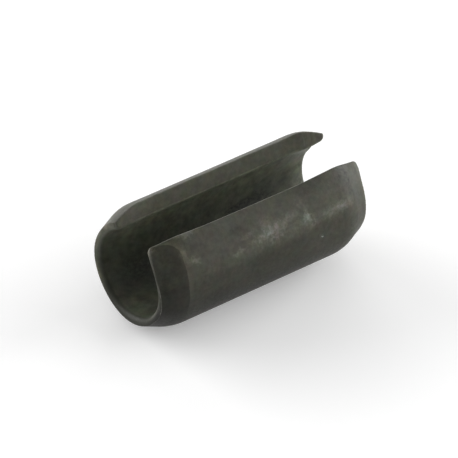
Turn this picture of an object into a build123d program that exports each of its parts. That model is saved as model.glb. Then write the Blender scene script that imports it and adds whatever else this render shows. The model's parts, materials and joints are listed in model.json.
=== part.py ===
"""Slotted spring roll pin, lying on a flat surface with its slot straight up.

One strip of spring steel is rolled into an open tube. Both ends are coned on the
outside, so that the pin can start into a hole smaller than itself, and the bore
flares out to a rounded lip at each end. The slot draws in towards the ends, and every
edge of the strip is rounded, the bore side more than the outside. X runs along the pin
and Z up through its slot, and the barrel touches the surface at Z = 0.
"""

from build123d import *
import math
import os

# Driving dimensions, in millimetres and degrees.
free_diameter = 10.7  # before the pin is driven into a 10 mm hole
length = 22.0
wall = 1.5

cone_length = 2.2  # measured along the pin
end_wall = 0.6  # what the cone leaves of the wall at the end face
knee_radius = 4.2  # bends the cone into the barrel

end_land = 0.15  # width of the flat end face, between the cone and the rounded lip of the bore
lip_length = 0.5  # how far the rounded lip reaches into the bore

slot_gap = 5.35  # between the outer edges of the slot, away from the ends
slot_face_lean = 23.0  # of each slot face, from upright
slot_draw_in = 0.38  # how far each side of the slot has moved in at the end faces
slot_draw_in_length = 7.0  # how far from each end that starts

inner_edge_radius = 0.27  # the strip's edges on the bore side of the slot, and its four corners
outer_edge_radius = 0.1  # the strip's edges on the outside, along the slot and round the end faces
smooth_angle = 5.0  # faces that meet at less than this run on into each other, with no edge to round

# Sizes that follow from them.
barrel_radius = free_diameter / 2
bore_radius = barrel_radius - wall
end_radius = bore_radius + end_wall
lip_radius = end_radius - end_land
half_length = length / 2
slot_edge_height = math.sqrt(barrel_radius**2 - (slot_gap / 2) ** 2)  # of its outer edges, above the axis


def wall_section():
    """The wall cut along the pin, above its axis: barrel and cones outside, bore and lips inside."""
    cone_start = half_length - cone_length
    lip_start = half_length - lip_length
    lip_rise = lip_radius - bore_radius
    with BuildSketch(Plane.XZ) as section:
        with BuildLine():
            FilletPolyline(
                (-half_length, lip_radius),
                (-half_length, end_radius),
                (-cone_start, barrel_radius),
                (cone_start, barrel_radius),
                (half_length, end_radius),
                (half_length, lip_radius),
                radius=[0, knee_radius, knee_radius, 0],
            )
            EllipticalCenterArc((lip_start, lip_radius), lip_length, lip_rise, 270, arc_size=90)
            Line((lip_start, bore_radius), (-lip_start, bore_radius))
            EllipticalCenterArc((-lip_start, lip_radius), lip_length, lip_rise, 180, arc_size=90)
        make_face()
    return section.sketch


def slot_outline(height):
    """The slot cut level, at a height above the pin's axis: straight sides that draw in at the ends."""
    run_out = wall  # the outline runs on past the end faces by this much
    half_gap = slot_gap / 2 + (height - slot_edge_height) * math.tan(math.radians(slot_face_lean))
    with BuildSketch(Plane.XY.offset(height)) as outline:
        with BuildLine():
            straight = Line((0, half_gap), (half_length - slot_draw_in_length, half_gap))
            drawn_in = TangentArc(
                straight @ 1, (half_length, half_gap - slot_draw_in), tangent=straight % 1
            )
            past_end = Line(drawn_in @ 1, drawn_in @ 1 + (drawn_in % 1) * run_out)
            Line(past_end @ 1, ((past_end @ 1).X, 0))
            mirror(about=Plane.YZ)
            mirror(about=Plane.XZ)
        make_face()
    return outline.sketch


def slot():
    """What the open slot takes out of the tube, from inside the bore to above the barrel."""
    inside_bore = slot_outline(bore_radius / 2)
    above_barrel = slot_outline(free_diameter)
    return loft([inside_bore, above_barrel], ruled=True)


def axis_distance(point):
    """How far a point is from the pin's axis."""
    return math.hypot(point.Y, point.Z)


def sharp_edges(pin):
    """The edges where two faces meet at an angle, rather than run on into each other."""
    found = ShapeList()
    for edge in pin.edges():
        normals = [face.normal_at(edge @ 0.5) for face in pin.faces() if edge in face.edges()]
        if normals[0].get_angle(normals[-1]) > smooth_angle:
            found.append(edge)
    return found


def spring_pin():
    """The whole pin, with its axis along X."""
    with BuildPart() as pin:
        add(wall_section())
        revolve(axis=Axis.X)
        add(slot(), mode=Mode.SUBTRACT)
        bore_side = sharp_edges(pin).filter_by(lambda edge: axis_distance(edge @ 0.5) < lip_radius)
        fillet(bore_side, inner_edge_radius)
        fillet(sharp_edges(pin), outer_edge_radius)
    return pin.part


def straight_stretch(slope_length, slope_rise, bend_radius):
    """The length of barrel left between the bends that lead to its two sloped ends."""
    bend_setback = bend_radius * math.tan(math.atan2(slope_rise, slope_length) / 2)
    return length - 2 * (slope_length + bend_setback)


pin_on_surface = Pos(0, 0, barrel_radius) * spring_pin()
os.makedirs("parts", exist_ok=True)
export_step(pin_on_surface, "parts/spring_pin.step")

barrel_length = straight_stretch(cone_length, barrel_radius - end_radius, knee_radius)
bore_length = length - 2 * lip_length
print(f"barrel: radius {barrel_radius:.3f} mm, {barrel_length:.2f} mm long")
print(f"bore: radius {bore_radius:.3f} mm, {bore_length:.2f} mm long")
print(f"volume: {pin_on_surface.volume:.1f} mm3")
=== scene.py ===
"""Looks of a slotted spring pin: its blackened, tumbled steel, and the plain stage that it lies on."""

import json
import math

import bmesh
import bpy
import numpy as np
from mathutils import Matrix, Vector


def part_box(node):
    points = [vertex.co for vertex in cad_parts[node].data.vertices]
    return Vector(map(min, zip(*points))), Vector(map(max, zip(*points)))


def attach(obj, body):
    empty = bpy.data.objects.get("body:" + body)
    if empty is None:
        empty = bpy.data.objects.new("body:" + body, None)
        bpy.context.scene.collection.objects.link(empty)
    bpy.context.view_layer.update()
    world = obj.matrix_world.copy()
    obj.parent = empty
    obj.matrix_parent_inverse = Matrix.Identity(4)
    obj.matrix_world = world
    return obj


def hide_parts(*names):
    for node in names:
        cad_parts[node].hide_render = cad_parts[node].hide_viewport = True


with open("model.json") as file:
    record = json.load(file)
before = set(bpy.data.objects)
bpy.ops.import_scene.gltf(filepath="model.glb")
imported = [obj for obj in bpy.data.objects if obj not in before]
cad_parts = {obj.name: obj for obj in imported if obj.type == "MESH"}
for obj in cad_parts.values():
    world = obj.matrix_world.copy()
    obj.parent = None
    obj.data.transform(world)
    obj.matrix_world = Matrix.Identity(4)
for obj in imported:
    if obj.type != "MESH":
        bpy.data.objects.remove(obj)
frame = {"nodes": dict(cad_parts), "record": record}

bl_info = {
    "name": "Slotted Spring Pin",
    "version": (1, 0, 0),
    "blender": (4, 5, 0),
    "location": "3D View > Sidebar > Spring Pin",
    "description": "Finishes a packed slotted spring pin in blackened, tumbled steel on a plain stage",
    "category": "Object",
}

PIN_NODE = "spring_pin"
PIN_PIECE = "tumbled_spring_pin"
TRUE_NORMAL = "true_normal"
MM = 0.001
WHITE = (1.0, 1.0, 1.0, 1.0)

# The pin's own sizes, read from the frame.
MOUNTS = {mount["name"]: mount for mount in frame["record"]["mounts"]}
AXIS_HEIGHT = MOUNTS["barrel"]["pos_m"][2]
BARREL_RADIUS = MOUNTS["barrel"]["dims"]["r_mm"] * MM
BORE_RADIUS = MOUNTS["bore"]["dims"]["r_mm"] * MM
HALF_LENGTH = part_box(PIN_NODE)[1].x

# Places along the pin, in the tables below, are in millimetres from its middle: the near mouth is at the
# least of them and the far mouth at the greatest. Angles are in degrees round the pin, from the middle of
# the slot over the front wall, so the back wall's are negative.
NEAR_MOUTH = -HALF_LENGTH / MM
FAR_MOUTH = HALF_LENGTH / MM
END_WALL = 0.6  # what the cones leave of the wall at the mouths, in millimetres

# Points of the mesh that are closer than this are one point.
SAME_POINT = 0.0001 * MM
# How far apart the points are that show how the knocks turn the surface.
TURN_STEP = 0.001 * MM

# Where the pin was knocked a little out of true as it was cut, coned and tumbled. A knock moves the
# outside of the wall, its bore side or the whole of it. A move is along the pin, outwards and round, in
# millimetres, and fades over its reach: millimetres along the pin and degrees round it.
KNOCKS = (
    # where, what moves, along, angle, move, reach along, reach round
    ("near mouth, front wall", "outside", NEAR_MOUTH, 62, (0, -0.27, 0), 1.5, 18),
    ("near mouth, corner of the front wall", "outside", NEAR_MOUTH, 29, (0, 0.21, 0), 1.0, 8),
    ("near mouth, corner of the front wall, cut back", "wall", NEAR_MOUTH, 28, (0.11, 0.11, 0), 0.6, 7),
    ("near mouth, corner of the back wall", "outside", NEAR_MOUTH, -32, (0, 0.14, 0), 1.0, 9),
    ("near mouth, foot of the front wall", "outside", NEAR_MOUTH, 99, (0, 0.20, 0), 1.2, 14),
    ("near mouth, underside", "outside", NEAR_MOUTH, 175, (0, 0.08, 0), 1.2, 20),
    ("near mouth, back wall", "outside", NEAR_MOUTH, -65, (0, -0.05, 0), 1.2, 11),
    ("near mouth, low on the back wall", "outside", NEAR_MOUTH, -98, (0, 0.10, 0), 1.2, 18),
    ("near shoulder of the back wall", "outside", -9.2, -55, (0, 0.04, 0), 1.2, 20),
    ("top of the back wall", "outside", -1.0, -45, (0, 0.06, 0), 6.5, 18),
    ("far half of the back wall", "outside", 6.5, -45, (0, 0.06, 0), 3.0, 18),
    ("horn at the far end of the back wall", "outside", 10.0, -30, (0, 0.28, 0), 1.3, 12),
    ("tip of the horn", "wall", FAR_MOUTH, -28, (0, 0.03, 0.4), 1.2, 10),
    ("inner side of the horn's tip", "bore", FAR_MOUTH, -36, (0, 0.36, 0), 0.7, 9),
    ("far mouth, under the horn", "bore", 10.8, -52, (0, -0.22, 0), 0.9, 11),
    ("far mouth, back wall", "bore", FAR_MOUTH, -76, (0, -0.13, 0), 0.9, 16),
    ("slot's edge on the front wall, near half", "outside", -6.0, 28, (0, 0.17, 0), 2.2, 7),
    ("slot's edge on the front wall, middle", "outside", -1.5, 28, (0, 0.07, 0), 2.5, 7),
    ("slot's edge on the front wall, far half", "outside", 6.8, 28, (0, 0.20, 0), 1.8, 7),
    ("far shoulder, edge of the slot", "outside", 9.7, 29, (0, -0.08, 0), 0.8, 8),
    ("far mouth, corner of the front wall", "wall", FAR_MOUTH, 32, (0.2, 0.05, 0.05), 0.7, 9),
    ("far mouth, front wall", "outside", FAR_MOUTH, 64, (0, -0.10, 0), 1.2, 24),
    ("far mouth, foot of the front wall", "outside", 10.8, 111, (0, -0.06, 0), 0.8, 8),
)

# Scuffs, which are lighter than the coat, and stains, which are darker, with painted highlights, painted
# light and painted shade among them where the comments say. Sizes are in millimetres, and lean is in
# degrees from the line of the pin. A strength of 1 makes the coat twice as light.
OUTER_MARKS = (
    # what, along, angle, half length, half width, lean, strength
    # The scuffs, scratches and smudges that follow are partly real wear and partly a painted highlight: the
    # band of sheen that a side lamp lays along the front wall.
    ("long scuff", 0.3, 58, 2.5, 0.6, -9, 1.3),
    ("tail of the long scuff", -3.3, 65, 0.9, 0.3, -4, 0.6),
    ("short scuff", 4.1, 60, 0.55, 0.5, 20, 1.35),
    ("scratch over the long scuff", -2.0, 53, 1.3, 0.3, -3, 0.45),
    ("scratch over the short scuff", 2.8, 52, 0.8, 0.5, -3, 0.45),
    ("scratch under the long scuff", 0.5, 66, 1.1, 0.25, -6, 0.6),
    ("scratch under the short scuff", 4.6, 67, 0.5, 0.3, -3, 0.6),
    ("spot by the near cone", -6.2, 69, 0.5, 0.4, 0, 0.25),
    ("far scuff", 7.5, 64, 1.9, 0.6, -5, 0.9),
    ("band of wear and painted sheen under the scuffs", 2.5, 65, 6.5, 0.8, -2, 0.4),
    ("smudge over the long scuff", 0.0, 50, 1.0, 0.7, 0, 0.45),
    ("smudge over the short scuff", 3.9, 48, 0.6, 1.2, -25, 0.4),
    ("rubbed far shoulder", 7.2, 50, 1.6, 1.3, 0, 0.2),
    ("patch by the near cone", -7.7, 55, 0.7, 0.4, 10, 0.95),
    ("rubbed corner of the near cone", -8.5, 46, 0.4, 0.9, 0, 0.5),
    ("rubbed near end of the slot's edge", -7.4, 30, 1.3, 0.45, 0, 0.9),
    ("corner of the near mouth", -10.95, 30, 0.5, 0.35, 0, 1.2),
    ("fleck", 5.3, 84, 0.12, 0.09, 0, 3.5),
    ("stain over the long scuff", -3.0, 45, 1.0, 0.5, -8, -0.2),
    ("stain by the near cone", -7.4, 45, 0.8, 0.5, 0, -0.15),
    ("stain over the far end", 4.5, 38, 1.6, 0.5, 0, -0.15),
    ("low stain", -5.5, 102, 2.2, 1.3, 0, -0.15),
    # Painted shade: the next two rows darken the far shoulder against the sheen that the right-hand lamp
    # lays on it.
    ("painted shade on the far shoulder", 9.0, 36, 1.2, 1.4, 0, -0.4),
    ("painted shade lower on the far shoulder", 9.1, 55, 0.4, 1.4, 0, -0.25),
    ("stain on the near cone", -10.5, 68, 0.6, 1.5, 0, -0.2),
    ("rubbed rim of the near mouth", NEAR_MOUTH, -128, 0.4, 2.0, 0, 0.8),
    # Painted highlight on the near corner of the back wall.
    ("painted highlight on the near corner of the back wall", NEAR_MOUTH, -46, 0.5, 0.9, 0, 0.9),
    ("rubbed horn", 10.4, -32, 1.7, 1.1, 0, 1.25),
    # Painted highlight on the near shoulder of the back wall.
    ("painted highlight on the near shoulder of the back wall", -9.5, -52, 1.3, 1.5, 0, 0.15),
)
BORE_MARKS = (
    # what, along, angle, half length, half width, lean, strength
    ("stain in the middle", 3.2, -114, 1.6, 0.8, 0, -0.55),
    ("far stain", 5.8, -112, 2.3, 1.0, 0, -0.6),
    # Painted light: the next two rows lighten the bore's back wall under the slot, where light falls in and
    # is reflected.
    ("painted light on the middle of the back wall", -2.5, -88, 4.5, 2.2, 0, 0.25),
    ("painted light high on the back wall", -1.0, -68, 6.0, 0.9, 0, 0.2),
    ("narrow stain", -1.8, -104, 0.4, 1.2, 10, -0.15),
    ("stain inside the near mouth", -7.6, -134, 1.9, 2.4, 0, -0.45),
    ("rubbed spot inside the near mouth", -9.6, -168, 0.5, 0.7, 0, 0.3),
)

# How noise breaks the marks up: it shifts their outlines by up to half of MARK_SHIFT each way, in
# millimetres, and leaves gaps in them. A mark is full at the smaller share of its half size from its middle
# and gone at the greater one.
MARK_SHIFT = 1.6
MARK_FULL = 0.1
MARK_GONE = 1.3

# Noises: size of their patches in millimetres, detail and roughness. Patches also have the two values of
# the noise between which they go from darkest to lightest, and how much darker or lighter that is.
MARK_SHIFT_NOISE = (1 / 2.6, 6.0, 0.8)
MARK_GAPS = (0.18, 4.0, 0.7, 0.3, 0.7, 0.6)
CONE_SHADE_NOISE = (0.6, 3.0, 0.5)
MOTTLE = (0.22, 4.0, 0.65, 0.2, 0.8, 0.2)
CLOUDS = (1.4, 3.0, 0.5, 0.25, 0.75, 0.1)
BORE_BLOTCHES = (0.45, 4.0, 0.65, 0.3, 0.7, 0.18)
TINT_NOISE = (1 / 1.8, 4.0, 0.7)
EDGE_PATCHES = (0.7, 3.0, 0.5, 0.35, 0.65, 0.325)
GRAIN = (0.1, 3.0, 0.6)

# The painted shade on the front of the near cone ends in an arc between two angles: from a place nearer
# the mouth at the slot's edge to one further from it round the wall. Its edge is ragged by half of
# CONE_SHADE_RAGGED each way.
CONE_SHADE_CORNER = -10.3
CONE_SHADE_END = -8.62
CONE_SHADE_CORNER_ANGLE = 29.5
CONE_SHADE_TURN = 46
CONE_SHADE_RAGGED = 0.3

# A step is one of the measures of PinPlaces and two values of it. It rises smoothly from 0 at the first
# value to 1 at the second, or between the two numbers that follow them. A region is where its steps,
# multiplied together, aren't 0.
BORE_SIDE = ("facing_out", -0.1, -0.6)
OUTER_SIDE = ("facing_out", 0.1, 0.6)
FRONT_WALL = (("angle", 10, 25), ("angle", 170, 140))
BACK_SLOT_FACE = (("angle", -10, -20), ("angle", -60, -50))

# Broad regions in which the coat is lighter or darker, by a share of its own lightness.
OUTER_REGIONS = (
    # what, share, steps
    # Painted shade: the lower front wall and the underside, which face the floor, are darker.
    ("painted shade on the lower walls", -0.32, (("off_slot", 68, 80), ("along", 0, 7, 1.0, 0.4))),
    ("underside", -0.33, (("off_slot", 80, 120),)),
    # Painted shade on the front of the near cone.
    ("painted shade on the near cone", -0.2, (("past_cone_shade", 0.05, -0.05), *FRONT_WALL)),
    # A lighter stripe just past that painted shade, on the near knee: partly wear and partly a painted
    # highlight.
    (
        "worn and sheen-lit stripe past the painted shade",
        0.45,
        (("past_cone_shade", 0.9, 0.0), ("past_cone_shade", -0.05, 0.05), ("angle", 105, 60), *FRONT_WALL),
    ),
    # A line of painted shade along the knee of the far shoulder.
    (
        "painted shade along the far knee",
        -0.2,
        (("along", 9.1, 9.3), ("along", 9.5, 9.3), ("angle", 80, 55), *FRONT_WALL),
    ),
    ("rim of the far mouth", 0.6, (("along", 10.65, 10.9),)),
    ("faces of the slot", 0.3, (("facing_round", 0.6, 0.85),)),
)
# In the bore every region is painted light, lighter by a share of the coat's own lightness: beside the
# slot, where light falls in and is reflected, on the bottom under the slot, and in the far mouth.
BORE_REGIONS = (
    # what, share, steps
    (
        "painted light next to the slot",
        2.0,
        (("off_slot", 105, 50), ("along", 3, 8, 1.0, 0.65), ("along", -10.6, -7.5, 0.3, 1.0)),
    ),
    ("painted light on the bore's floor", 0.35, (("off_slot", 155, 172),)),
    ("far mouth", 1.4, (("along", 8.8, 10.2),)),
)
DARKEST = 0.25  # the least that regions and marks leave of the coat's lightness

# The end face of the near mouth on the back wall, and how light it is next to the coat.
NEAR_RIM = (("facing_along", -0.6, -0.9), ("angle", -50, -75), ("angle", -160, -130))
NEAR_RIM_LIGHTNESS = 1.7

# A scuff, or a painted highlight among the outer marks, multiplies red, green and blue by
# SCUFF_AND_SHEEN_TINT where its lightness is SCUFF_OR_SHEEN_FULL. All over the coat the colours drift apart
# by up to half of
# TINT_DRIFT each way.
SCUFF_AND_SHEEN_TINT = (1.0, 0.96, 1.15)
SCUFF_OR_SHEEN_FULL = 2
TINT_DRIFT = 0.5

# Edges face squarely neither out, along nor round. Tumbling wears them by EDGE_WEAR on average, in patches,
# less under the pin, and less at two places on the back wall's face of the slot.
EDGES = (("facing_squarely", 0.9, 0.75), ("off_slot", 110, 150, 1.0, 0.3))
EDGE_WEAR = 0.575
INNER_EDGE_OF_SLOT = (*BACK_SLOT_FACE, ("radius", 4.6, 4.2), ("along", 0, 8, 0.4, 0.8))
NEAR_CORNER_OF_SLOT = (*BACK_SLOT_FACE, ("along", -9.5, -10.3, 0.0, 0.4))

# The rounded lip inside each mouth is painted darker, as shade, under the pin and, half as much, on the
# back wall. LIP_EDGE gives the radius at which it ends, and LIP_STRENGTH how far the painted shade hides
# the coat's own colour.
LIP = (("from_middle", 10.5, 10.75), ("past_lip", 0.05, -0.1))
LIP_EDGE = ("off_slot", 90, 150, 4.18, 4.6)
LIP_ON_BACK_WALL = ("angle", -60, -90, 0.0, 0.5)
LIP_UNDER_PIN = ("off_slot", 110, 145)
LIP_STRENGTH = 0.9

# The steel's grain: the values of its noise between which the coat goes from smoothest to roughest, by how
# much, and its relief.
GRAIN_SMOOTHEST = 0.3
GRAIN_ROUGHEST = 0.7
GRAIN_ROUGHNESS = 0.06
GRAIN_DEPTH = 0.02 * MM
GRAIN_RELIEF = 0.25

# The stage: a camera, a floor and lamps, in metres.
SENSOR_WIDTH = 36.0  # in millimetres, as cameras give it
NEAREST_SEEN = 0.01
FLOOR_REACH = 3.0
LAMP_DISTANCE = 1.0
LAMP_FOOT = 0.01
LAMP_HEIGHT = 0.66
LAMP_WIDTH = 1.1
LAMP_WATTS = 4.0  # for each square metre of a lamp of brightness 1
LAMPS = (
    # name, azimuth, brightness
    ("right side", 72, 5.0),
    ("behind", 144, 2.0),
    ("left side", 216, 4.5),
)


class SpringPinSteelSettings(bpy.types.PropertyGroup):
    """Form and finish of the pin."""

    slice_length: bpy.props.FloatProperty(
        name="Slice",
        description="Length of the slices that the pin's mesh is cut into before it is knocked out of true",
        default=0.0005,
        min=0.0001,
        subtype="DISTANCE",
        unit="LENGTH",
    )
    out_of_true: bpy.props.FloatProperty(
        name="Out of True",
        description="How far the pin is knocked out of true: 0 leaves it as designed",
        default=1.0,
        min=0.0,
        subtype="FACTOR",
    )
    coat_color: bpy.props.FloatVectorProperty(
        name="Coat",
        description="Colour of the blackened steel outside",
        default=(0.060, 0.060, 0.045),
        subtype="COLOR",
        min=0.0,
        max=1.0,
    )
    bore_color: bpy.props.FloatVectorProperty(
        name="Bore",
        description="Colour of the blackened steel in the bore, where nothing rubs it",
        default=(0.047, 0.050, 0.036),
        subtype="COLOR",
        min=0.0,
        max=1.0,
    )
    worn_color: bpy.props.FloatVectorProperty(
        name="Worn",
        description="Colour of worn edges, where tumbling has thinned the coat",
        default=(0.155, 0.153, 0.136),
        subtype="COLOR",
        min=0.0,
        max=1.0,
    )
    # The lip's colour is painted shade, for the rounded lip inside each mouth.
    lip_shade_color: bpy.props.FloatVectorProperty(
        name="Lip",
        description="Colour of the rounded lip inside each mouth, painted darker, as shade",
        default=(0.029, 0.030, 0.023),
        subtype="COLOR",
        min=0.0,
        max=1.0,
    )
    specular: bpy.props.FloatProperty(
        name="Specular",
        description="How strongly the coat mirrors what is round it",
        default=0.15,
        min=0.0,
        max=1.0,
        subtype="FACTOR",
    )
    roughness: bpy.props.FloatProperty(
        name="Roughness",
        description="Roughness of the coat where it is whole",
        default=0.5,
        min=0.0,
        max=1.0,
        subtype="FACTOR",
    )


class SpringPinStageSettings(bpy.types.PropertyGroup):
    """Camera, floor and light."""

    view_azimuth: bpy.props.FloatProperty(
        name="View Azimuth",
        description="Where the camera stands round the pin: 0 looks along +Y, and more goes anticlockwise",
        default=math.radians(-41.9287),
        subtype="ANGLE",
    )
    view_elevation: bpy.props.FloatProperty(
        name="View Elevation",
        description="How far above the horizon the camera stands",
        default=math.radians(38.3615),
        subtype="ANGLE",
    )
    view_roll: bpy.props.FloatProperty(
        name="View Roll",
        description="How far the camera is turned about its own line of sight",
        default=math.radians(5.4477),
        subtype="ANGLE",
    )
    view_distance: bpy.props.FloatProperty(
        name="View Distance",
        description="From the camera to the point that it looks at",
        default=0.334167,
        min=0.01,
        subtype="DISTANCE",
        unit="LENGTH",
    )
    view_target: bpy.props.FloatVectorProperty(
        name="View Target",
        description="The point that the camera looks at",
        default=(-0.00006515, 0.00030206, 0.00522893),
        subtype="TRANSLATION",
        unit="LENGTH",
    )
    lens: bpy.props.FloatProperty(
        name="Lens",
        description="Focal length of the camera, in millimetres",
        default=314.56,
        min=1.0,
    )
    floor_color: bpy.props.FloatVectorProperty(
        name="Floor",
        description="Colour of the floor",
        default=(0.9, 0.9, 0.9),
        subtype="COLOR",
        min=0.0,
        max=1.0,
    )
    backdrop_glow: bpy.props.FloatProperty(
        name="Backdrop Glow",
        description="How much the floor glows to the camera and in reflections, to keep it white",
        default=0.2,
        min=0.0,
    )
    world_strength: bpy.props.FloatProperty(
        name="World",
        description="Strength of the even light from all round",
        default=0.35,
        min=0.0,
    )


def knocked(points, scale):
    """Points of the pin, moved as the knocks say."""
    along = points[:, 0]
    across = points[:, 1]
    height = points[:, 2] - AXIS_HEIGHT
    radius = np.hypot(across, height)
    angle = np.arctan2(-across, height)
    outside = np.clip((radius - BORE_RADIUS) / (END_WALL * MM), 0.0, 1.0)
    shares = {"outside": outside, "bore": 1 - outside, "wall": 1.0}
    moved = np.stack([along, radius, radius * angle])
    for _, part, place, middle, move, reach_along, reach_round in KNOCKS:
        turn = (np.degrees(angle) - middle + 180) % 360 - 180
        fall_off = ((along / MM - place) / reach_along) ** 2 + (turn / reach_round) ** 2
        moved += np.outer(np.array(move) * MM * scale, np.exp(-0.5 * fall_off) * shares[part])
    along, radius, angle = moved[0], moved[1], moved[2] / radius
    return np.stack([along, -radius * np.sin(angle), radius * np.cos(angle) + AXIS_HEIGHT], axis=1)


def knocked_normals(points, normals, scale):
    """The normals of the pin's surface after the knocks, from how the knocks turn three short steps."""
    columns = []
    for offset in np.eye(3) * TURN_STEP:
        ahead = knocked(points + offset, scale)
        behind = knocked(points - offset, scale)
        columns.append((ahead - behind) / (2 * TURN_STEP))
    stretched = np.stack(columns, axis=2)
    turned = np.linalg.solve(np.swapaxes(stretched, 1, 2), normals[:, :, None])[:, :, 0]
    return turned / np.linalg.norm(turned, axis=1, keepdims=True)


def closed_fine_mesh(source, name, slice_length):
    """A copy of a mesh with its seams closed, cut across into short slices. It keeps its own normals."""
    mesh = source.copy()
    mesh.name = name
    corner_normals = np.empty(len(mesh.loops) * 3, np.float32)
    mesh.corner_normals.foreach_get("vector", corner_normals)
    kept_normals = mesh.attributes.new(TRUE_NORMAL, "FLOAT_VECTOR", "CORNER")
    kept_normals.data.foreach_set("vector", corner_normals)
    fine = bmesh.new()
    fine.from_mesh(mesh)
    bmesh.ops.remove_doubles(fine, verts=fine.verts, dist=SAME_POINT)
    for place in np.arange(-HALF_LENGTH + slice_length, HALF_LENGTH, slice_length):
        bmesh.ops.bisect_plane(
            fine,
            geom=[*fine.verts, *fine.edges, *fine.faces],
            dist=SAME_POINT,
            plane_co=(place, 0, 0),
            plane_no=(1, 0, 0),
        )
    bmesh.ops.triangulate(fine, faces=[face for face in fine.faces if len(face.verts) > 3])
    fine.to_mesh(mesh)
    fine.free()
    return mesh


def knock_out_of_true(mesh, scale):
    """Moves a mesh's points and turns its normals to follow the knocks."""
    points = np.empty(len(mesh.vertices) * 3)
    mesh.vertices.foreach_get("co", points)
    points = points.reshape(-1, 3)
    normals = np.empty(len(mesh.loops) * 3)
    mesh.attributes[TRUE_NORMAL].data.foreach_get("vector", normals)
    corner_points = np.empty(len(mesh.loops), int)
    mesh.loops.foreach_get("vertex_index", corner_points)
    normals = knocked_normals(points[corner_points], normals.reshape(-1, 3), scale)
    mesh.vertices.foreach_set("co", knocked(points, scale).ravel())
    mesh.attributes.remove(mesh.attributes[TRUE_NORMAL])
    mesh.shade_smooth()
    mesh.normals_split_custom_set(normals.tolist())
    mesh.update()


class Sheet:
    """Adds nodes to a material, each wired to what it is given."""

    def __init__(self, tree):
        self.tree = tree

    def add(self, kind, inputs=None, **settings):
        """A node with its settings and inputs. An input is a plain value or another node's output."""
        node = self.tree.nodes.new(kind)
        for name, value in settings.items():
            setattr(node, name, value)
        for key, value in (inputs or {}).items():
            if isinstance(value, bpy.types.NodeSocket):
                self.tree.links.new(value, node.inputs[key])
            else:
                node.inputs[key].default_value = value
        return node

    def maths(self, operation, *values):
        """One step of arithmetic."""
        return self.add("ShaderNodeMath", dict(enumerate(values)), operation=operation).outputs[0]

    def square(self, value):
        """A value times itself."""
        return self.maths("MULTIPLY", value, value)

    def rest(self, share):
        """What a share leaves of 1."""
        return self.maths("SUBTRACT", 1.0, share)

    def ramp(self, value, low, high, at_low=0.0, at_high=1.0):
        """A smooth step of a value from low to high, held level outside them."""
        inputs = {"Value": value, "From Min": low, "From Max": high, "To Min": at_low, "To Max": at_high}
        return self.add("ShaderNodeMapRange", inputs, interpolation_type="SMOOTHSTEP").outputs[0]

    def noise(self, place, size, detail, roughness, output="Fac"):
        """Cloudy noise, 0 to 1, whose patches are about the size given, in the units of place."""
        inputs = {"Vector": place, "Scale": 0.5 / size, "Detail": detail, "Roughness": roughness}
        return self.add("ShaderNodeTexNoise", inputs).outputs[output]

    def drift(self, place, size, detail, roughness, reach):
        """A vector that wanders about zero from place to place, by up to half the reach on each axis."""
        noise = self.noise(place, size, detail, roughness, "Color")
        return self.vector("SCALE", self.vector("SUBTRACT", noise, (0.5, 0.5, 0.5)), scale=reach)

    def patches(self, place, size, detail, roughness, darkest, lightest, strength):
        """Cloudy patches, from minus the strength given to plus it."""
        noise = self.noise(place, size, detail, roughness)
        return self.ramp(noise, darkest, lightest, -strength, strength)

    def vector(self, operation, *vectors, scale=None):
        """One step of arithmetic on vectors. It gives a number where the operation measures something."""
        inputs = dict(enumerate(vectors))
        if scale is not None:
            inputs["Scale"] = scale
        outputs = self.add("ShaderNodeVectorMath", inputs, operation=operation).outputs
        return outputs["Value" if operation in ("DOT_PRODUCT", "LENGTH") else "Vector"]

    def blend(self, share, first, second):
        """A mix of two colours: the share given is the second's."""
        return self.add("ShaderNodeMix", {0: share, 6: first, 7: second}, data_type="RGBA").outputs[2]


def opaque(color):
    """A colour with full alpha."""
    return (*color, 1.0)


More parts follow.
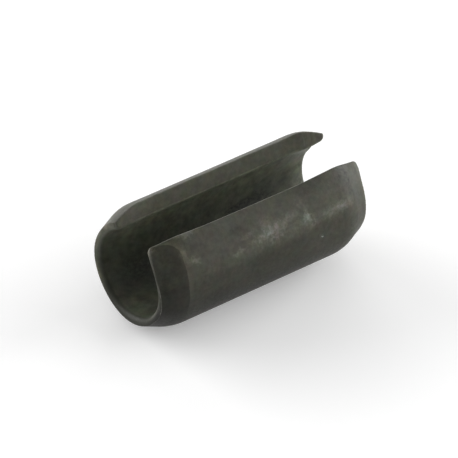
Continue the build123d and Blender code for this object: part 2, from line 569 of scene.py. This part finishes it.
class PinPlaces:
    """Where a point of the steel is on the pin, and which way it faces, as outputs of nodes.

    Lengths are in millimetres and angles in degrees. Each facing is a cosine: 1 is squarely that way.
    """

    def __init__(self, sheet):
        self.sheet = sheet
        spot = sheet.add("ShaderNodeTexCoord")
        self.place = sheet.vector("SCALE", spot.outputs["Object"], scale=1 / MM)
        from_axis = sheet.vector("SUBTRACT", self.place, (0, 0, AXIS_HEIGHT / MM))
        parts = sheet.add("ShaderNodeSeparateXYZ", {0: from_axis}).outputs
        outward = sheet.vector("NORMALIZE", sheet.vector("MULTIPLY", from_axis, (0, 1, 1)))
        self.along = parts["X"]
        self.from_middle = sheet.maths("ABSOLUTE", self.along)
        squares = sheet.maths("ADD", sheet.square(parts["Y"]), sheet.square(parts["Z"]))
        self.radius = sheet.maths("SQRT", squares)
        turn = sheet.maths("ARCTAN2", sheet.maths("MULTIPLY", parts["Y"], -1.0), parts["Z"])
        self.angle = sheet.maths("MULTIPLY", turn, math.degrees(1))
        self.off_slot = sheet.maths("ABSOLUTE", self.angle)
        round_the_wall = sheet.maths("MULTIPLY", turn, BARREL_RADIUS / MM)
        unrolled = {"X": self.along, "Y": round_the_wall}
        self.unrolled = sheet.add("ShaderNodeCombineXYZ", unrolled).outputs[0]
        normal = spot.outputs["Normal"]
        way_round = sheet.vector("CROSS_PRODUCT", outward, (1, 0, 0))
        self.facing_out = sheet.vector("DOT_PRODUCT", normal, outward)
        self.facing_along = sheet.vector("DOT_PRODUCT", normal, (1, 0, 0))
        self.facing_round = sheet.maths("ABSOLUTE", sheet.vector("DOT_PRODUCT", normal, way_round))
        self.facing_squarely = self.facing_round
        for facing in (self.facing_out, self.facing_along):
            facing = sheet.maths("ABSOLUTE", facing)
            self.facing_squarely = sheet.maths("MAXIMUM", self.facing_squarely, facing)
        self.past_lip = sheet.maths("SUBTRACT", self.radius, self.step(*LIP_EDGE))
        self.past_cone_shade = sheet.maths("SUBTRACT", self.along, self.end_of_cone_shade())

    def end_of_cone_shade(self):
        """Where the painted shade on the near cone ends along the pin, at each angle."""
        sheet = self.sheet
        short_of_turn = sheet.maths("SUBTRACT", CONE_SHADE_TURN, self.angle)
        short_of_turn = sheet.maths("DIVIDE", short_of_turn, CONE_SHADE_TURN - CONE_SHADE_CORNER_ANGLE)
        short_of_turn = sheet.maths("MINIMUM", sheet.maths("MAXIMUM", short_of_turn, 0.0), 1.0)
        arc = sheet.maths("SQRT", sheet.rest(sheet.square(short_of_turn)))
        end = sheet.maths("MULTIPLY", arc, CONE_SHADE_END - CONE_SHADE_CORNER)
        end = sheet.maths("ADD", end, CONE_SHADE_CORNER)
        ragged = sheet.maths("SUBTRACT", sheet.noise(self.place, *CONE_SHADE_NOISE), 0.5)
        return sheet.maths("ADD", end, sheet.maths("MULTIPLY", ragged, CONE_SHADE_RAGGED))

    def step(self, measure, start, end, at_start=0.0, at_end=1.0):
        """A smooth step of one of the measures."""
        return self.sheet.ramp(getattr(self, measure), start, end, at_start, at_end)

    def region(self, steps):
        """How far inside a region a place is: its steps, multiplied together."""
        inside = self.step(*steps[0])
        for step in steps[1:]:
            inside = self.sheet.maths("MULTIPLY", inside, self.step(*step))
        return inside


def marks(sheet, unrolled, rows):
    """How much lighter or darker marks make each place. Noise breaks them up as it does real ones."""
    shift = sheet.vector("MULTIPLY", sheet.drift(unrolled, *MARK_SHIFT_NOISE, MARK_SHIFT), (1, 1, 0))
    shifted = sheet.vector("ADD", unrolled, shift)
    total = 0.0
    for _, along, angle, half_length, half_width, lean, strength in rows:
        inputs = {
            "Vector": shifted,
            "Location": (along, math.radians(angle) * BARREL_RADIUS / MM, 0),
            "Rotation": (0, 0, math.radians(lean)),
            "Scale": (half_length, half_width, 1),
        }
        spread = sheet.add("ShaderNodeMapping", inputs, vector_type="TEXTURE").outputs[0]
        mark = sheet.ramp(sheet.vector("LENGTH", spread), MARK_GONE, MARK_FULL, 0.0, strength)
        total = sheet.maths("ADD", total, mark)
    gaps = sheet.maths("ADD", sheet.patches(unrolled, *MARK_GAPS), 1.0)
    return sheet.maths("MULTIPLY", total, gaps)


def lightness(pin, regions, marked):
    """How light the coat is next to its plain colour, from its broad regions and its marks."""
    sheet = pin.sheet
    total = sheet.maths("ADD", marked, 1.0)
    for _, share, steps in regions:
        total = sheet.maths("ADD", total, sheet.maths("MULTIPLY", pin.region(steps), share))
    return sheet.maths("MAXIMUM", total, DARKEST)


def mottling(pin, in_bore):
    """How light fine mottling makes each place of the coat."""
    sheet = pin.sheet
    total = sheet.maths("ADD", sheet.patches(pin.place, *MOTTLE), 1.0)
    total = sheet.maths("ADD", total, sheet.patches(pin.place, *CLOUDS))
    blotches = sheet.maths("MULTIPLY", sheet.patches(pin.place, *BORE_BLOTCHES), in_bore)
    return sheet.maths("ADD", total, blotches)


def whole_coat(pin, steel):
    """The colour of the coat where no edge is worn through it, with its painted light, shade and
    highlights.
    """
    sheet = pin.sheet
    in_bore = pin.step(*BORE_SIDE)
    outer_marks = marks(sheet, pin.unrolled, OUTER_MARKS)
    outer_lightness = lightness(pin, OUTER_REGIONS, outer_marks)
    bore_lightness = lightness(pin, BORE_REGIONS, marks(sheet, pin.unrolled, BORE_MARKS))
    inputs = {0: in_bore, 2: outer_lightness, 3: bore_lightness}
    light = sheet.add("ShaderNodeMix", inputs).outputs[0]
    light = sheet.maths("MULTIPLY", light, mottling(pin, in_bore))
    near_rim = sheet.ramp(pin.region(NEAR_RIM), 0, 1, 1.0, NEAR_RIM_LIGHTNESS)
    light = sheet.maths("MULTIPLY", light, near_rim)
    color = sheet.blend(in_bore, opaque(steel.coat_color), opaque(steel.bore_color))
    color = sheet.vector("SCALE", color, scale=light)
    # Scuffs, and the painted highlights among the outer marks, are tinted less yellow.
    scuffs_and_sheen = sheet.maths("MULTIPLY", sheet.maths("MAXIMUM", outer_marks, 0.0), pin.step(*OUTER_SIDE))
    scuff_and_sheen_tint = sheet.blend(sheet.ramp(scuffs_and_sheen, 0, SCUFF_OR_SHEEN_FULL), WHITE, opaque(SCUFF_AND_SHEEN_TINT))
    color = sheet.vector("MULTIPLY", color, scuff_and_sheen_tint)
    tint = sheet.vector("ADD", sheet.drift(pin.place, *TINT_NOISE, TINT_DRIFT), (1, 1, 1))
    return sheet.vector("MULTIPLY", color, tint)


def painted_lip_shade(pin):
    """How far each place is on the rounded lip inside a mouth, which is painted darker as shade."""
    sheet = pin.sheet
    whole = sheet.maths("MAXIMUM", pin.step(*LIP_ON_BACK_WALL), pin.step(*LIP_UNDER_PIN))
    return sheet.maths("MULTIPLY", pin.region(LIP), whole)


def worn_edges(pin):
    """How far tumbling has worn each place: edges alone, in patches, and less where it doesn't reach."""
    sheet = pin.sheet
    worn = sheet.maths("ADD", sheet.patches(pin.place, *EDGE_PATCHES), EDGE_WEAR)
    worn = sheet.maths("MULTIPLY", worn, pin.region(EDGES))
    spared = sheet.maths("MAXIMUM", pin.region(INNER_EDGE_OF_SLOT), pin.region(NEAR_CORNER_OF_SLOT))
    return sheet.maths("MULTIPLY", worn, sheet.rest(spared))


def blackened_steel(steel):
    """The coat: dark, matt and faintly mottled, duller in the bore and worn lighter on edges, with light,
    shade and highlights painted into its colour in places.
    """
    material = bpy.data.materials.new("blackened tumbled spring steel")
    material.use_nodes = True
    sheet = Sheet(material.node_tree)
    shader = material.node_tree.nodes["Principled BSDF"]
    pin = PinPlaces(sheet)

    # Painted shade on the rounded lip inside each mouth; worn edges are kept off it.
    lip = painted_lip_shade(pin)
    worn = sheet.maths("MULTIPLY", worn_edges(pin), sheet.rest(lip))
    color = sheet.blend(worn, whole_coat(pin, steel), opaque(steel.worn_color))
    color = sheet.blend(sheet.maths("MULTIPLY", lip, LIP_STRENGTH), color, opaque(steel.lip_shade_color))
    sheet.tree.links.new(color, shader.inputs["Base Color"])

    grain = sheet.noise(pin.place, *GRAIN)
    smoothest = steel.roughness - GRAIN_ROUGHNESS
    roughest = steel.roughness + GRAIN_ROUGHNESS
    rough = sheet.ramp(grain, GRAIN_SMOOTHEST, GRAIN_ROUGHEST, smoothest, roughest)
    sheet.tree.links.new(rough, shader.inputs["Roughness"])
    relief = {"Strength": GRAIN_RELIEF, "Distance": GRAIN_DEPTH, "Height": grain}
    sheet.tree.links.new(sheet.add("ShaderNodeBump", relief).outputs[0], shader.inputs["Normal"])
    shader.inputs["Specular IOR Level"].default_value = steel.specular
    return material


class OBJECT_OT_spring_pin_tumble(bpy.types.Operator):
    """Stand a tumbled pin of blackened steel in for the plain one: out of true, mottled and worn"""

    bl_idname = "object.spring_pin_tumble"
    bl_label = "Tumble the Pin"

    def execute(self, context):
        steel = context.scene.spring_pin_steel
        mesh = closed_fine_mesh(frame["nodes"][PIN_NODE].data, PIN_PIECE, steel.slice_length)
        knock_out_of_true(mesh, steel.out_of_true)
        mesh.materials.clear()
        mesh.materials.append(blackened_steel(steel))
        pin = bpy.data.objects.new(PIN_PIECE, mesh)
        context.scene.collection.objects.link(pin)
        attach(pin, "root")
        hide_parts(PIN_NODE)
        return {"FINISHED"}


def camera_axes(azimuth, elevation, roll):
    """The camera's axes as the columns of a rotation: to the right, up, and back towards the camera."""
    back = Vector(
        (
            math.sin(azimuth) * math.cos(elevation),
            -math.cos(azimuth) * math.cos(elevation),
            math.sin(elevation),
        )
    )
    level_right = Vector((math.cos(azimuth), math.sin(azimuth), 0.0))
    right = level_right * math.cos(roll) + back.cross(level_right) * math.sin(roll)
    return Matrix((right, back.cross(right), back)).transposed()


def add_camera(scene, stage):
    """The camera, looking at the pin."""
    lens = bpy.data.cameras.new("camera")
    lens.lens = stage.lens
    lens.sensor_width = SENSOR_WIDTH
    lens.clip_start = NEAREST_SEEN
    camera = bpy.data.objects.new("camera", lens)
    scene.collection.objects.link(camera)
    axes = camera_axes(stage.view_azimuth, stage.view_elevation, stage.view_roll).to_4x4()
    axes.translation = Vector(stage.view_target) + axes.col[2].to_3d() * stage.view_distance
    camera.matrix_world = axes
    scene.camera = camera


def floor_paint(stage):
    """Plain pale paint, which also glows a little to the camera and in reflections."""
    paint = bpy.data.materials.new("plain pale floor")
    paint.use_nodes = True
    shader = paint.node_tree.nodes["Principled BSDF"]
    shader.inputs["Base Color"].default_value = opaque(stage.floor_color)
    shader.inputs["Roughness"].default_value = 1.0
    shader.inputs["Specular IOR Level"].default_value = 0.0
    shader.inputs["Emission Color"].default_value = WHITE
    sheet = Sheet(paint.node_tree)
    rays = sheet.add("ShaderNodeLightPath").outputs
    seen = sheet.maths("MAXIMUM", rays["Is Camera Ray"], rays["Is Glossy Ray"])
    seen = sheet.maths("MAXIMUM", seen, rays["Is Transmission Ray"])
    glow = sheet.maths("MULTIPLY", seen, stage.backdrop_glow)
    sheet.tree.links.new(glow, shader.inputs["Emission Strength"])
    return paint


def add_floor(scene, stage):
    """The floor that the pin lies on."""
    mesh = bpy.data.meshes.new("floor")
    grown = bmesh.new()
    bmesh.ops.create_grid(grown, x_segments=1, y_segments=1, size=FLOOR_REACH)
    grown.to_mesh(mesh)
    grown.free()
    mesh.materials.append(floor_paint(stage))
    floor = bpy.data.objects.new("floor", mesh)
    scene.collection.objects.link(floor)


def add_lamp(scene, name, azimuth, brightness):
    """A wide, soft lamp that stands upright at the azimuth given and shines level at the pin."""
    data = bpy.data.lights.new(name, "AREA")
    data.shape = "RECTANGLE"
    data.size = LAMP_WIDTH
    data.size_y = LAMP_HEIGHT
    data.energy = brightness * LAMP_WIDTH * LAMP_HEIGHT * LAMP_WATTS
    lamp = bpy.data.objects.new(name, data)
    scene.collection.objects.link(lamp)
    axes = camera_axes(math.radians(azimuth), 0.0, 0.0).to_4x4()
    middle = Vector((0, 0, LAMP_FOOT + LAMP_HEIGHT / 2))
    axes.translation = axes.col[2].to_3d() * LAMP_DISTANCE + middle
    lamp.matrix_world = axes


def add_even_light(scene, strength):
    """White light of the same strength from all round."""
    world = bpy.data.worlds.new("even light")
    world.use_nodes = True
    background = world.node_tree.nodes["Background"]
    background.inputs["Color"].default_value = WHITE
    background.inputs["Strength"].default_value = strength
    scene.world = world


class OBJECT_OT_spring_pin_stage(bpy.types.Operator):
    """Set the pin on a plain pale floor under soft light, with a camera on it"""

    bl_idname = "object.spring_pin_stage"
    bl_label = "Set the Stage"

    def execute(self, context):
        scene = context.scene
        stage = scene.spring_pin_stage
        add_camera(scene, stage)
        add_floor(scene, stage)
        for lamp in LAMPS:
            add_lamp(scene, *lamp)
        add_even_light(scene, stage.world_strength)
        scene.view_settings.view_transform = "Standard"
        return {"FINISHED"}


class VIEW3D_PT_spring_pin(bpy.types.Panel):
    """Lists what can be made of the pin, and its settings."""

    bl_label = "Spring Pin"
    bl_idname = "VIEW3D_PT_spring_pin"
    bl_space_type = "VIEW_3D"
    bl_region_type = "UI"
    bl_category = "Spring Pin"

    def draw(self, context):
        for operator in OPERATORS:
            self.layout.operator(operator.bl_idname)
        for settings in (context.scene.spring_pin_steel, context.scene.spring_pin_stage):
            box = self.layout.box()
            for name in settings.__annotations__:
                box.prop(settings, name)


OPERATORS = (OBJECT_OT_spring_pin_tumble, OBJECT_OT_spring_pin_stage)
CLASSES = (SpringPinSteelSettings, SpringPinStageSettings, *OPERATORS, VIEW3D_PT_spring_pin)


def register():
    """Makes the settings, operators and panel known to Blender."""
    for cls in CLASSES:
        bpy.utils.register_class(cls)
    bpy.types.Scene.spring_pin_steel = bpy.props.PointerProperty(type=SpringPinSteelSettings)
    bpy.types.Scene.spring_pin_stage = bpy.props.PointerProperty(type=SpringPinStageSettings)


def unregister():
    """Takes them away again."""
    del bpy.types.Scene.spring_pin_stage
    del bpy.types.Scene.spring_pin_steel
    for cls in reversed(CLASSES):
        bpy.utils.unregister_class(cls)


def main():
    """Builds the pin and its stage."""
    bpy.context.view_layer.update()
    register()
    bpy.ops.object.spring_pin_tumble()
    bpy.ops.object.spring_pin_stage()


if __name__ == "__main__":
    main()
